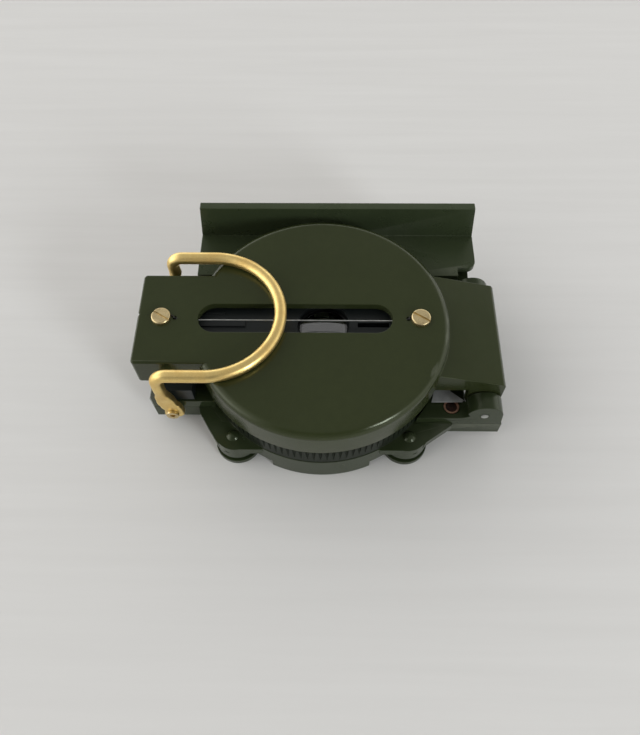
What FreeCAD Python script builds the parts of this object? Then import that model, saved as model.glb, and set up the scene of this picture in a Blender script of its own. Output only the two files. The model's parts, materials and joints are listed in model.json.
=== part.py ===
"""Folding sighting compass: two-part cast body, floating card in a capsule, click bezel, slotted cover with
sighting wire, folding lens bracket, wire thumb loop and folding map ruler.

Frame: millimetres, origin on the card's axis at the underside, +X towards the cover hinge, +Y towards the
map ruler, +Z up.
"""
import FreeCAD, Part
import math
import os

from FreeCAD import Vector

os.makedirs("parts", exist_ok=True)

X = Vector(1, 0, 0)
Y = Vector(0, 1, 0)
Z = Vector(0, 0, 1)

# --- Driving dimensions, mm ---
BODY_R = 25.1            # round body
BODY_BOTTOM = 2.3        # underside of the casting beside the bridges
BLOCK_BOTTOM = 2.8       # underside of both end blocks
SEAM_Z = 6.7             # parting plane between lower and upper casting
BRIDGE_HALF = 10.2       # half width of the wall pieces that reach the table
CAVITY_R = 21.8
FLANGE_R = 22.7

RIGHT_END = 37.5         # hinge block
RIGHT_HALF = 16.15
RIGHT_TOP = 9.3
LUG_INNER = 12.45
GAP_X = 29.7             # open gap between the lugs starts here
FLOOR_GAP_X = 30.25      # and here in the lower casting
FLOOR_LIP_X = 31.05      # a low lip of its floor reaches under the knuckle
FLOOR_LIP_TOP = 3.9
HINGE_X = 33.3
HINGE_Z = 10.3
LUG_R = 3.7

LEFT_END = -37.8         # eyepiece block, at its foot
LEFT_HALF = 12.7
LEFT_TOP = 13.85         # top of its end wall
LEFT_DECK = 9.35         # its top behind the end wall, under the lens bracket's arms
LEFT_WALL_X = -33.5      # inner face of the end wall
LEFT_LEAN = 0.31         # the end face leans in by this much per mm of height
LEFT_CHAMFER_X = 2.5
LEFT_CHAMFER_Y = 3.8

EAR_THICK = 2.1
BOSS_X = 17.65
BOSS_Y = 17.9
BOSS_R = 4.5
LOBE_R = 4.8
BUMP_AT = (-18.2, -19.15)  # domed spot on each ear, clear of the bezel
BUMP_R = 1.3
BUMP_RISE = 0.75
PLATE_TOP = 1.3          # bottom plate thickness

LID_R = 26.0
LID_TOP = 21.7
SKIRT_BOTTOM = 14.0
LID_WALL = 1.3
LID_PLATE = 1.7
LID_EDGE_R = 1.9
TONGUE_END = -37.2
TONGUE_HALF = 10.65
TONGUE_WALL_BOTTOM = 14.35
SLOT_LEFT = -24.9
SLOT_RIGHT = 14.3
SLOT_HALF = 3.35
WIRE_Z = 20.8            # in a fine bore along the cover's plate
WIRE_R = 0.14
WIRE_SCREW_X = (-32.35, 19.96)
WIRE_HOLE_X = (-29.6, 17.5)
COVER_HALF = 12.2        # half width of the cover's hinge plate
COVER_END = 36.9
COVER_TOP_IN = 19.9      # hinge plate's top where it leaves the disc
COVER_SLOPE = 0.26
COVER_IN = 21.4          # the plate's hidden inner end, inside the disc

BEZEL_R = 25.0
BEZEL_BOTTOM = 6.95
BEZEL_TOP = 13.4
BEZEL_TEETH = 120
BEZEL_TEETH_BOTTOM = 8.3
FLUTE_TOP_R = 0.6        # flutes run out to nothing at their lower end
FLUTE_FOOT_R = 0.08
SPIGOT_R = 23.4
SPIGOT_TOP = 9.2

RIVET_AT = (26.95, -13.35)      # copper rivet in the hinge block
CLICK_RIVET_AT = (25.6, -8.6)   # the leaf's own fixing

BRACKET_PIN_X = -30.5
BRACKET_PIN_Z = 12.0
BRACKET_END = 15.3
BRACKET_BOTTOM = 16.0
BRACKET_TOP = 19.2
BRACKET_HALF = 8.7
BRACKET_ARM_R = 2.4
BRACKET_ARM_END = -26.3
BRACKET_ARM_HALF = 12.4  # outer faces of the two hinge arms
BRACKET_SHOULDER_Z = 13.6  # top of the arms outside the cover's tongue
BRACKET_LUG_HALF = 4.2   # the body's lug between the arms
LENS_X = 0.4
LENS_R = 4.85
LENS_BORE_R = 5.3
LENS_SEAT_Z = 16.6
LENS_TOP = 18.55
LENS_BALL_R = 30.0       # its convex face

LOOP_PIVOT_X = -31.0
LOOP_PIVOT_Z = 7.4
LOOP_LEG_X = -31.8
LOOP_BEND_R = 2.4
LOOP_Y = 14.25
LOOP_WIRE_R = 1.25
LOOP_EYE_IN = 13.0       # faces of the flattened ends
LOOP_EYE_OUT = 14.6
LOOP_BOW_X = -22.4
LOOP_Z = LID_TOP + LOOP_WIRE_R + 0.05

RULER_LEFT = -28.0
RULER_RIGHT = 34.3
RULER_IN = 28.1
RULER_OUT = 29.9
RULER_FLANGE_BOTTOM = 12.2
RULER_FLANGE_TOP = 13.9
RULER_TOP = 22.7
RULER_DRAFT = 0.8        # each end is this much shorter at the top
RULER_NEAR = 16.6        # the flange's near edge at both arms
RULER_NEAR_RIGHT = 18.9  # and beside the right ear
RULER_PIN_Y = 20.35
RULER_PIN_Z = 9.45
RULER_ARM_R = 1.6


def cyl(radius, height, at=(0, 0, 0), axis=Z):
    return Part.makeCylinder(radius, height, Vector(*at), axis)


def tube(outer, inner, height, at=(0, 0, 0), axis=Z):
    return cyl(outer, height, at, axis).cut(cyl(inner, height, at, axis))


def block(low, high):
    size = [b - a for a, b in zip(low, high)]
    return Part.makeBox(*size, Vector(*low))


def prism(points, direction):
    """A closed outline of (x, y, z) points, carried along direction."""
    wire = Part.makePolygon([Vector(*p) for p in points] + [Vector(*points[0])])
    return Part.Face(wire).extrude(direction)


def plan(points, bottom, top):
    """A closed (x, y) outline as a solid from bottom to top."""
    return prism([(x, y, bottom) for x, y in points], Z * (top - bottom))


def profile(points, near, far):
    """A closed (x, z) outline as a solid from y = near to y = far."""
    return prism([(x, near, z) for x, z in points], Y * (far - near))


def arc_points(centre, radius, start, end, count=10):
    """Points on an arc, angles in degrees, as (a, b) pairs."""
    steps = [start + (end - start) * i / count for i in range(count + 1)]
    return [(centre[0] + radius * math.cos(math.radians(t)),
             centre[1] + radius * math.sin(math.radians(t))) for t in steps]


def fuse(shapes):
    shapes = list(shapes)
    out = shapes[0].fuse(shapes[1:]) if len(shapes) > 1 else shapes[0]
    return out.removeSplitter()


def cut(shape, tools):
    return shape.cut(list(tools))


def mirror_y(shape):
    return shape.mirror(Vector(0, 0, 0), Y)


def mirror_x(shape):
    return shape.mirror(Vector(0, 0, 0), X)


def four_ways(shape):
    """The shape at (+x, -y) copied to all four corners."""
    pair = [shape, mirror_y(shape)]
    return pair + [mirror_x(s) for s in pair]


def slotted_screw(head_r, head_h, shank_r, shank_l, at, turn=0.0, up=1):
    """A slotted pan-head screw standing on the point at, pointing down for up = 1."""
    x, y, z = at
    head = cyl(head_r, head_h, (x, y, z))
    rim = [e for e in head.Edges if abs(e.CenterOfMass.z - (z + head_h)) < 1e-6 and len(e.Vertexes) == 1]
    head = head.makeFillet(head_h * 0.45, rim)
    groove = block((x - head_r, y - 0.22, z + head_h * 0.5), (x + head_r, y + 0.22, z + head_h + 1))
    groove.rotate(Vector(x, y, z), Z, turn)
    screw = head.cut(groove).fuse(cyl(shank_r, shank_l, (x, y, z - shank_l))).removeSplitter()
    if up < 0:
        screw.rotate(Vector(x, y, z), X, 180)
    return screw


# --- Lower casting ---
EAR_OUTLINE = [(-27.0, -8.0), (-25.5, -14.1), (-23.4, -17.6), (-21.3, -20.9)]
EAR_OUTLINE += arc_points((-18.2, -19.2), 3.1, 214, 268, 6)
EAR_OUTLINE += [(-12.2, -22.3), (-8.0, -20.0)]

# The web that joins the near right ear to the hinge block
WEB_OUTLINE = [(20.9, -20.9), (27.3, -16.4), (27.3, -14.0), (20.0, -14.0)]


def ear():
    """One fixing ear with its boss, at (-x, -y)."""
    plate = plan(EAR_OUTLINE, SEAM_Z - EAR_THICK, SEAM_Z)
    boss = cyl(BOSS_R, SEAM_Z - BODY_BOTTOM, (-BOSS_X, -BOSS_Y, BODY_BOTTOM))
    dome_r = (BUMP_R ** 2 + BUMP_RISE ** 2) / (2 * BUMP_RISE)
    dome = Part.makeSphere(dome_r, Vector(*BUMP_AT, SEAM_Z + BUMP_RISE - dome_r))
    dome = dome.common(cyl(BUMP_R, 3, (*BUMP_AT, SEAM_Z - 1)))
    return [plate, boss, dome]


def left_block(bottom, top):
    """The eyepiece block between two heights, with its leaning end face."""
    side = LEFT_END + LEFT_CHAMFER_X
    corner_y = LEFT_HALF - LEFT_CHAMFER_Y
    outline = [(-18, -LEFT_HALF), (side, -LEFT_HALF), (LEFT_END, -corner_y),
               (LEFT_END, corner_y), (side, LEFT_HALF), (-18, LEFT_HALF)]
    lean = [(LEFT_END - 5, BLOCK_BOTTOM), (LEFT_END, BLOCK_BOTTOM),
            (LEFT_END + LEFT_LEAN * (20 - BLOCK_BOTTOM), 20), (LEFT_END - 5, 20)]
    return plan(outline, bottom, top).cut(profile(lean, -20, 20))


def loop_pin_holes():
    """Blind holes for the thumb loop's two pivot rivets."""
    return [cyl(0.9, 3.2, (LOOP_PIVOT_X, -LEFT_HALF - 0.1, LOOP_PIVOT_Z), Y),
            cyl(0.9, 3.2, (LOOP_PIVOT_X, LEFT_HALF + 0.1, LOOP_PIVOT_Z), -Y)]


def base_case():
    ears = [mirrored for part in ear() for mirrored in four_ways(part)]
    right = block((15, -RIGHT_HALF, BLOCK_BOTTOM), (RIGHT_END, RIGHT_HALF, SEAM_Z))
    left = left_block(BLOCK_BOTTOM, SEAM_Z)
    bridge = tube(BODY_R, FLANGE_R, SEAM_Z)
    bridge = bridge.common(block((-BRIDGE_HALF, -30, 0), (BRIDGE_HALF, 30, SEAM_Z)))
    case = fuse([cyl(BODY_R, SEAM_Z - BODY_BOTTOM, (0, 0, BODY_BOTTOM)),
                 cyl(22.6, 1.0, (0, 0, PLATE_TOP + 0.1)), left, right, bridge] + ears)
    web = plan(WEB_OUTLINE, SEAM_Z - EAR_THICK, SEAM_Z)
    case = fuse([case, web])
    lug_gap = block((FLOOR_GAP_X, -LUG_INNER, FLOOR_LIP_TOP), (RIGHT_END + 1, LUG_INNER, SEAM_Z + 1))
    under_gap = block((FLOOR_LIP_X, -LUG_INNER, 0), (RIGHT_END + 1, LUG_INNER, SEAM_Z + 1))
    holes = four_ways(cyl(0.85, 4.3, (-BOSS_X, -BOSS_Y, BODY_BOTTOM - 0.1)))
    capsule_well = cyl(CAVITY_R, SEAM_Z, (0, 0, 2.1))
    flange_step = cyl(FLANGE_R, SEAM_Z, (0, 0, 3.7))
    return cut(case, [lug_gap, under_gap, capsule_well, flange_step] + holes + loop_pin_holes())


def bottom_plate():
    lobes = four_ways(cyl(LOBE_R, PLATE_TOP, (-BOSS_X, -BOSS_Y, 0)))
    plate = fuse([cyl(22.4, PLATE_TOP)] + lobes)
    screws = four_ways(cyl(1.1, PLATE_TOP, (-BOSS_X, -BOSS_Y, 0)))
    sinks = four_ways(Part.makeCone(2.1, 1.1, 1.0, Vector(-BOSS_X, -BOSS_Y, 0), Z))
    return cut(plate, screws + sinks)


def plate_screws():
    """Four countersunk screws from below, flush with the plate."""
    x, y = -BOSS_X, -BOSS_Y
    head = Part.makeCone(1.95, 0.95, 1.0, Vector(x, y, 0.05), Z)
    head = head.cut(block((x - 2, y - 0.2, 0), (x + 2, y + 0.2, 0.4)))
    screw = head.fuse(cyl(0.8, 5.1, (x, y, 1.0))).removeSplitter()
    return Part.makeCompound(four_ways(screw))


# --- Upper casting ---
def lug():
    """Outline of a hinge lug: round top, upright outer side, concave run down to the block."""
    foot_x = 28.0
    hollow = arc_points((foot_x, RIGHT_TOP + 3.3), 3.3, 270, 330, 8)
    crown = arc_points((HINGE_X, HINGE_Z), LUG_R, 165, 0, 14)
    inner = [(foot_x - 1, SEAM_Z), (foot_x - 1, RIGHT_TOP)]
    return inner + hollow[:-2] + crown + [(RIGHT_END - 0.2, SEAM_Z)]


def upper_frame():
    right = block((15, -RIGHT_HALF, SEAM_Z), (GAP_X, RIGHT_HALF, RIGHT_TOP))
    near_lug = profile(lug(), -RIGHT_HALF, -LUG_INNER)
    left = left_block(SEAM_Z, LEFT_TOP)
    ring = tube(BODY_R, CAVITY_R, 1.0, (0, 0, SEAM_Z - 1.0))
    ring = ring.common(cyl(FLANGE_R - 0.1, 2, (0, 0, SEAM_Z - 1.0)))
    frame = fuse([right, near_lug, mirror_y(near_lug), left, ring])
    frame = frame.cut(cyl(BEZEL_R + 0.4, 20, (0, 0, SEAM_Z)))
    floor = tube(BODY_R, CAVITY_R, BEZEL_BOTTOM - SEAM_Z - 0.1, (0, 0, SEAM_Z))
    deck = tube(BODY_R + 1.2, CAVITY_R, 0.15, (0, 0, SEAM_Z)).common(
        fuse([block((-30, -RIGHT_HALF, 0), (30, RIGHT_HALF, 20))]))
    spigot = tube(SPIGOT_R, CAVITY_R, SPIGOT_TOP - SEAM_Z, (0, 0, SEAM_Z))
    arm_room = block((LEFT_WALL_X, -20, LEFT_DECK), (-20, 20, LEFT_TOP + 1))
    frame = fuse([frame.cut(arm_room), floor, deck, spigot, ruler_ears(), bracket_lug()])
    groove = Part.makeTorus(SPIGOT_R + 0.1, 0.42, Vector(0, 0, 8.0), Z)
    plate_room = block((-40, -9.2, 12.6), (LEFT_WALL_X, 9.2, LEFT_TOP + 1))
    pin_holes = [cyl(0.8, 60, (HINGE_X, -30, HINGE_Z), Y),
                 cyl(0.8, 60, (BRACKET_PIN_X, -30, BRACKET_PIN_Z), Y),
                 cyl(0.8, 12, (-30, RULER_PIN_Y, RULER_PIN_Z), X),
                 cyl(0.8, 12, (24, RULER_PIN_Y, RULER_PIN_Z), X)]
    rivet_seat = cyl(1.75, 0.6, (*RIVET_AT, RIGHT_TOP - 0.55))
    rivet_hole = cyl(0.8, 5, (*RIVET_AT, RIGHT_TOP - 2.0))
    spring_screw = cyl(0.6, 3, (*CLICK_RIVET_AT, RIGHT_TOP - 2.2))
    rooms = [groove, plate_room, rivet_seat, rivet_hole, spring_screw]
    return cut(frame, rooms + pin_holes + loop_pin_holes())


def bracket_lug():
    """The lug on the eyepiece block that holds the lens bracket's pin."""
    half = 2.1
    outline = [(BRACKET_PIN_X - half, LEFT_DECK - 1), (BRACKET_PIN_X + half, LEFT_DECK - 1)]
    outline += arc_points((BRACKET_PIN_X, BRACKET_PIN_Z), half, 0, 180, 12)
    return profile(outline, -BRACKET_LUG_HALF, BRACKET_LUG_HALF)


def ruler_ears():
    """The two ears on the far side that carry the ruler's pins."""
    ears = []
    for low, high, inner in ((-25.5, -23.4, 11.0), (30.4, 33.1, 14.5)):
        plate = block((low, inner, SEAM_Z + 0.3), (high, RULER_PIN_Y, RULER_PIN_Z + RULER_ARM_R))
        nose = cyl(RULER_ARM_R, high - low, (low, RULER_PIN_Y, RULER_PIN_Z), X)
        ears.append(fuse([plate, nose]))
    return Part.makeCompound(ears)


# --- Capsule and card ---
def capsule_bowl():
    bowl = fuse([cyl(21.5, 8.0, (0, 0, 2.15)), cyl(FLANGE_R - 0.15, 0.9, (0, 0, 3.75))])
    hollow = cyl(20.3, 8.0, (0, 0, 3.15))
    seal_groove = tube(21.1, 20.3, 0.45, (0, 0, 9.7))
    return cut(bowl, [hollow, seal_groove])


def capsule_seal():
    return tube(21.05, 20.35, 0.5, (0, 0, 9.7))


def capsule_glass():
    return cyl(21.5, 1.0, (0, 0, 10.2))


def capsule_clamp_ring():
    return tube(FLANGE_R - 0.15, 21.65, 0.9, (0, 0, 4.7))


def index_mark():
    """The fixed reading line printed under the capsule glass."""
    return block((-20.0, -0.2, 10.12), (-14.5, 0.2, 10.2))


def pivot_seat():
    return cut(Part.makeCone(2.4, 1.5, 1.2, Vector(0, 0, 3.15), Z), [cyl(0.45, 2, (0, 0, 3.15))])


def pivot_needle():
    return fuse([cyl(0.45, 3.6, (0, 0, 3.15)), Part.makeCone(0.45, 0.05, 0.9, Vector(0, 0, 6.75), Z)])


def jewel_cup():
    return cut(cyl(0.9, 0.8, (0, 0, 7.1)), [Part.makeCone(0.7, 0.06, 0.55, Vector(0, 0, 7.1), Z)])


def card_hub():
    cup = fuse([cyl(2.6, 0.45, (0, 0, 6.55)), cyl(1.5, 1.5, (0, 0, 6.55))])
    return cut(cup, [cyl(0.9, 0.8, (0, 0, 7.1)), cyl(0.85, 0.7, (0, 0, 6.5))])


def card_magnet():
    bar = block((-1.6, -14.0, 7.1), (1.6, 14.0, 8.0))
    return cut(bar, [cyl(1.6, 2, (0, 0, 6.6))])


def compass_card():
    disc = fuse([cyl(19.3, 0.35, (0, 0, 8.05)), tube(19.3, 18.9, 0.9, (0, 0, 7.5))])
    return disc


def north_arrow():
    """The luminous arrow on the card."""
    outline = [(0, 15.5), (-3.0, 10.5), (-1.0, 10.5), (-1.0, 6.5), (1.0, 6.5), (1.0, 10.5), (3.0, 10.5)]
    return plan(outline, 8.4, 8.48)


# --- Bezel ---
def bezel_ring():
    ring = fuse([tube(BEZEL_R, SPIGOT_R + 0.15, SPIGOT_TOP + 0.2 - BEZEL_BOTTOM, (0, 0, BEZEL_BOTTOM)),
                 tube(BEZEL_R, 21.7, BEZEL_TOP - SPIGOT_TOP - 0.2, (0, 0, SPIGOT_TOP + 0.2))])
    seat = cyl(23.0, 3, (0, 0, 11.5))
    groove = Part.makeTorus(SPIGOT_R + 0.1, 0.42, Vector(0, 0, 8.0), Z)
    flutes = []
    for i in range(BEZEL_TEETH):
        flute = Part.makeCone(FLUTE_FOOT_R, FLUTE_TOP_R, BEZEL_TOP + 0.2 - BEZEL_TEETH_BOTTOM,
                              Vector(BEZEL_R, 0, BEZEL_TEETH_BOTTOM), Z)
        flute.rotate(Vector(0, 0, 0), Z, 360.0 / BEZEL_TEETH * i)
        flutes.append(flute)
    return cut(ring, [seat, groove] + flutes)


def bezel_snap_ring():
    """Open wire ring that holds the bezel on the spigot."""
    wire = Part.makeTorus(SPIGOT_R + 0.1, 0.3, Vector(0, 0, 8.0), Z)
    return wire.cut(block((SPIGOT_R - 2, -1.5, 6), (SPIGOT_R + 2, 1.5, 10)))


def bezel_glass():
    return cyl(22.95, 0.9, (0, 0, 11.5))


def bezel_glass_ring():
    return tube(22.95, 21.9, 0.6, (0, 0, 12.4))


def bezel_line():
    """The luminous line on the bezel glass."""
    return block((-0.35, 15.0, 12.4), (0.35, 21.0, 12.5))


def click_spring():
    """Leaf whose tip clicks into the bezel's flutes."""
    outline = [(24.4, -7.2), (26.8, -7.2), (26.8, -10.35), (29.4, -12.45), (29.1, -12.8),
               (22.75, -12.85), (23.4, -10.4)]
    leaf = plan(outline, RIGHT_TOP + 0.6, RIGHT_TOP + 0.9)
    pad = cyl(0.9, 0.6, (*CLICK_RIVET_AT, RIGHT_TOP))
    hole = cyl(0.6, 3, (*CLICK_RIVET_AT, RIGHT_TOP - 1))
    trim = cyl(BEZEL_R + 0.3, 3, (0, 0, RIGHT_TOP))
    return cut(fuse([leaf, pad]), [hole, trim])


def click_spring_rivet():
    stem = cyl(0.58, 2.9, (*CLICK_RIVET_AT, RIGHT_TOP - 2.0))
    return fuse([stem, cyl(0.95, 0.3, (*CLICK_RIVET_AT, RIGHT_TOP + 0.9))])


def block_rivet():
    """Copper rivet that shows in the hinge block's near corner."""
    head = cyl(1.6, 0.4, (*RIVET_AT, RIGHT_TOP - 0.55))
    dish = cyl(1.25, 0.4, (*RIVET_AT, RIGHT_TOP - 0.4))
    return cut(fuse([head, cyl(0.75, 1.5, (*RIVET_AT, RIGHT_TOP - 2.0))]), [dish])


# --- Cover ---
def obround(left, right, half, bottom, top):
    middle = block((left + half, -half, bottom), (right - half, half, top))
    return fuse([middle, cyl(half, top - bottom, (left + half, 0, bottom)),
                 cyl(half, top - bottom, (right - half, 0, bottom))])


def cover_top_z(x):
    """Height of the sloping hinge plate's upper face."""
    return COVER_TOP_IN - COVER_SLOPE * (x - 22.7)


def lid_shell():
    disc = cyl(LID_R, LID_TOP - SKIRT_BOTTOM, (0, 0, SKIRT_BOTTOM))
    rim = [e for e in disc.Edges if abs(e.CenterOfMass.z - LID_TOP) < 1e-6 and len(e.Vertexes) == 1]
    disc = disc.makeFillet(LID_EDGE_R, rim)
    under = LID_TOP - LID_PLATE
    tongue = block((TONGUE_END, -TONGUE_HALF, TONGUE_WALL_BOTTOM), (-10, TONGUE_HALF, LID_TOP))
    corners = [e for e in tongue.Edges if abs(e.CenterOfMass.x - TONGUE_END) < 1e-6
               and abs(e.Vertexes[0].Z - e.Vertexes[1].Z) > 1]
    tongue = tongue.makeFillet(0.8, corners)
    edges = [e for e in tongue.Edges if abs(e.CenterOfMass.z - LID_TOP) < 1e-6 and e.CenterOfMass.x < -12]
    tongue = tongue.makeFillet(0.45, edges)
    outline = [(COVER_IN, cover_top_z(COVER_IN)), (COVER_END - 0.5, cover_top_z(COVER_END - 0.5)),
               (COVER_END, cover_top_z(COVER_END) - 0.6), (COVER_END, HINGE_Z)]
    outline += arc_points((HINGE_X, HINGE_Z), 3.6, 0, -180, 16)[1:]
    outline += [(HINGE_X - 3.6, SKIRT_BOTTOM), (COVER_IN, SKIRT_BOTTOM)]
    cheeks = profile(outline, -COVER_HALF, COVER_HALF)
    shell = fuse([disc, tongue, cheeks])
    inside_disc = cyl(LID_R - LID_WALL, under - SKIRT_BOTTOM + 1, (0, 0, SKIRT_BOTTOM - 1))
    inside_tongue = block((TONGUE_END + 1.2, -TONGUE_HALF + 1.2, 10), (0, TONGUE_HALF - 1.2, under))
    inner, outer = COVER_IN - 1, COVER_END - 1.3
    hollow = [(inner, 12), (inner, cover_top_z(inner) - 1.5), (outer, cover_top_z(outer) - 1.5),
              (outer, 3), (27, 3)]
    inside_cover = profile(hollow, -COVER_HALF + 1.6, COVER_HALF - 1.6)
    knuckle_relief = cyl(0.85, 60, (HINGE_X, -30, HINGE_Z), Y)
    slot = obround(SLOT_LEFT, SLOT_RIGHT, SLOT_HALF, 15, 30)
    notch = plan([(TONGUE_END - 0.5, 1.5), (TONGUE_END - 0.5, 0.1), (TONGUE_END + 0.45, 0.8)], 10, 30)
    screw_holes = [cyl(0.75, 10, (x, 0, under - 1)) for x in WIRE_SCREW_X]
    wire_holes = [cyl(0.4, 10, (x, 0, under - 1)) for x in WIRE_HOLE_X]
    bore_length = WIRE_SCREW_X[1] - WIRE_SCREW_X[0] - 2.0
    wire_bore = cyl(WIRE_R + 0.03, bore_length, (WIRE_SCREW_X[0] + 1.0, 0, WIRE_Z), X)
    return cut(shell, [inside_disc, inside_tongue, inside_cover, knuckle_relief, slot, notch, wire_bore]
               + screw_holes + wire_holes)


def sight_wire():
    """Fine wire stretched along the slot."""
    length = WIRE_SCREW_X[1] - WIRE_SCREW_X[0] - 2.4
    return cyl(WIRE_R, length, (WIRE_SCREW_X[0] + 1.2, 0, WIRE_Z), X)


def wire_screws():
    return Part.makeCompound([slotted_screw(1.95, 0.8, 0.72, LID_PLATE + 0.5, (x, 0, LID_TOP), -32)
                              for x in WIRE_SCREW_X])


def wire_nuts():
    """Small nuts inside the cover that clamp the wire's ends."""
    nuts = []
    for x in WIRE_SCREW_X:
        hexagon = [(x + 1.3 * math.cos(math.radians(60 * i)), 1.3 * math.sin(math.radians(60 * i)))
                   for i in range(6)]
        nut = plan(hexagon, LID_TOP - LID_PLATE - 0.75, LID_TOP - LID_PLATE)
        nuts.append(nut.cut(cyl(0.74, 3, (x, 0, LID_TOP - LID_PLATE - 1))))
    return Part.makeCompound(nuts)


def lid_dots():
    """Two luminous dots inside the cover, beside the slot's ends."""
    return Part.makeCompound([cyl(0.8, 0.15, (x, 5.2, LID_TOP - LID_PLATE - 0.15)) for x in (-18.0, 10.0)])


def lid_hinge_pin():
    return cyl(0.75, 2 * RIGHT_HALF + 0.1, (HINGE_X, -RIGHT_HALF - 0.05, HINGE_Z), Y)


# --- Lens bracket ---
def lens_bracket():
    """Flat plate with the lens seat and sight slit, hung on two wide arms."""
    tail, corner = -29.2, 2.0
    outline = [(tail, BRACKET_HALF), (tail, -BRACKET_HALF), (BRACKET_END - corner, -BRACKET_HALF),
               (BRACKET_END, -BRACKET_HALF + corner), (BRACKET_END, BRACKET_HALF - corner),
               (BRACKET_END - corner, BRACKET_HALF)]
    plate = plan(outline, BRACKET_BOTTOM, BRACKET_TOP)
    bar = block((-27.0, -0.65, BRACKET_TOP), (-15.6, 0.65, BRACKET_TOP + 0.35))
    ridge = block((-24.0, 2.3, BRACKET_TOP), (-20.0, 2.9, BRACKET_TOP + 0.25))
    neck_z = BRACKET_BOTTOM + 0.4
    arm = [(BRACKET_PIN_X, BRACKET_PIN_Z - BRACKET_ARM_R), (BRACKET_ARM_END, BRACKET_PIN_Z - BRACKET_ARM_R),
           (BRACKET_ARM_END, neck_z), (BRACKET_PIN_X + 1.3, neck_z)]
    arm += arc_points((BRACKET_PIN_X, BRACKET_PIN_Z), BRACKET_ARM_R, 57, 270, 14)[:-1]
    inner = BRACKET_LUG_HALF + 0.2
    arms = [profile(arm, -BRACKET_ARM_HALF, -inner), profile(arm, inner, BRACKET_ARM_HALF)]
    shoulders = [block((-40, side - 10, BRACKET_SHOULDER_Z), (0, side + 10, 20)) for side in (-18.8, 18.8)]
    bracket = fuse([plate, bar, ridge] + [arm.cut(shoulders) for arm in arms])
    lens_bore = cyl(LENS_BORE_R, 10, (LENS_X, 0, LENS_SEAT_Z))
    lens_clear = cyl(LENS_R - 0.6, 10, (LENS_X, 0, BRACKET_BOTTOM - 1))
    sight_slit = block((7.4, -0.5, BRACKET_BOTTOM - 1), (13.8, 0.55, BRACKET_TOP + 2))
    pin_bore = cyl(0.85, 60, (BRACKET_PIN_X, -BRACKET_ARM_HALF + 0.8, BRACKET_PIN_Z), Y)
    return cut(bracket, [lens_bore, lens_clear, sight_slit, pin_bore])


def lens():
    """Plano-convex reading lens."""
    disc = cyl(LENS_R, LENS_TOP - LENS_SEAT_Z, (LENS_X, 0, LENS_SEAT_Z))
    ball = Part.makeSphere(LENS_BALL_R, Vector(LENS_X, 0, LENS_TOP - LENS_BALL_R))
    return disc.common(ball)


def lens_ring():
    """Retaining ring pressed in round the lens, below its face."""
    return tube(LENS_BORE_R - 0.01, LENS_R + 0.01, 1.0, (LENS_X, 0, LENS_SEAT_Z))


def bracket_pin():
    """Pressed through the lug from the far side; its near end is hidden in the arm."""
    near = -BRACKET_ARM_HALF + 1.0
    return cyl(0.78, BRACKET_ARM_HALF - near, (BRACKET_PIN_X, near, BRACKET_PIN_Z), Y)


# --- Thumb loop ---
def loop_leg(side):
    """Points of one leg: foot, start, middle and end of its bend, end of its straight run."""
    lift = LOOP_BEND_R * (1 - math.sqrt(0.5))
    x, y = LOOP_LEG_X, side * LOOP_Y
    return [Vector(x, y, 16.0), Vector(x, y, LOOP_Z - LOOP_BEND_R),
            Vector(x + lift, y, LOOP_Z - lift), Vector(x + LOOP_BEND_R, y, LOOP_Z),
            Vector(LOOP_BOW_X, y, LOOP_Z)]


def thumb_loop():
    """Bent wire: up one side, over the cover in a bow and down the other side, with flattened eyes."""
    near = loop_leg(-1)
    far = loop_leg(1)
    path = [Part.LineSegment(near[0], near[1]), Part.Arc(*near[1:4]), Part.LineSegment(near[3], near[4]),
            Part.Arc(near[4], Vector(LOOP_BOW_X + LOOP_Y, 0, LOOP_Z), far[4]),
            Part.LineSegment(far[4], far[3]), Part.Arc(*far[3:0:-1]), Part.LineSegment(far[1], far[0])]
    spine = Part.Wire([curve.toShape() for curve in path])
    section = Part.Wire(Part.makeCircle(LOOP_WIRE_R, near[0], Z))
    wire = spine.makePipeShell([section], True, True)
    loop = fuse([loop_eye(), wire, mirror_y(loop_eye())])
    return loop.cut(cyl(0.95, 60, (LOOP_PIVOT_X, -30, LOOP_PIVOT_Z), Y))


def loop_eye():
    """Flattened, uneven lower end of one leg, with the pivot eye."""
    left = [(-33.05, 17.6), (-32.95, 16.1), (-33.4, 14.05), (-33.55, 11.65), (-33.15, 9.85), (-32.6, 8.45),
            (-32.85, 6.6), (-32.4, 6.0)]
    right = [(-29.2, 6.0), (-28.75, 6.6), (-28.85, 8.85), (-29.1, 10.2), (-29.6, 10.5), (-29.8, 12.4),
             (-30.25, 14.1), (-30.9, 15.45), (-30.9, 17.6)]
    return profile(left + right, -LOOP_EYE_OUT, -LOOP_EYE_IN)


def loop_rivets():
    """Two tubular rivets that carry the loop."""
    shapes = []
    for side in (-1, 1):
        face = side * (LOOP_EYE_OUT + 0.08)
        inward = Vector(0, -side, 0)
        stem = cyl(0.88, LOOP_EYE_OUT - LEFT_HALF + 2.8, (LOOP_PIVOT_X, face, LOOP_PIVOT_Z), inward)
        head = cyl(1.3, 0.5, (LOOP_PIVOT_X, face, LOOP_PIVOT_Z), Vector(0, side, 0))
        bore = cyl(0.55, 1.6, (LOOP_PIVOT_X, face + side * 0.5, LOOP_PIVOT_Z), inward)
        shapes.append(cut(fuse([stem, head]), [bore]))
    return Part.makeCompound(shapes)


# --- Map ruler ---
def flange_outline():
    """The ruler's flange from above, with its two near tabs and the rounded corner beside the right ear."""
    corner = 2.0
    right = [(30.2, RULER_NEAR), (30.2, RULER_NEAR_RIGHT)]
    right += arc_points((RULER_RIGHT - corner, RULER_NEAR_RIGHT + corner), corner, -90, 0, 8)
    return [(RULER_LEFT, RULER_NEAR), *right, (RULER_RIGHT, RULER_OUT), (RULER_LEFT, RULER_OUT)]


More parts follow.
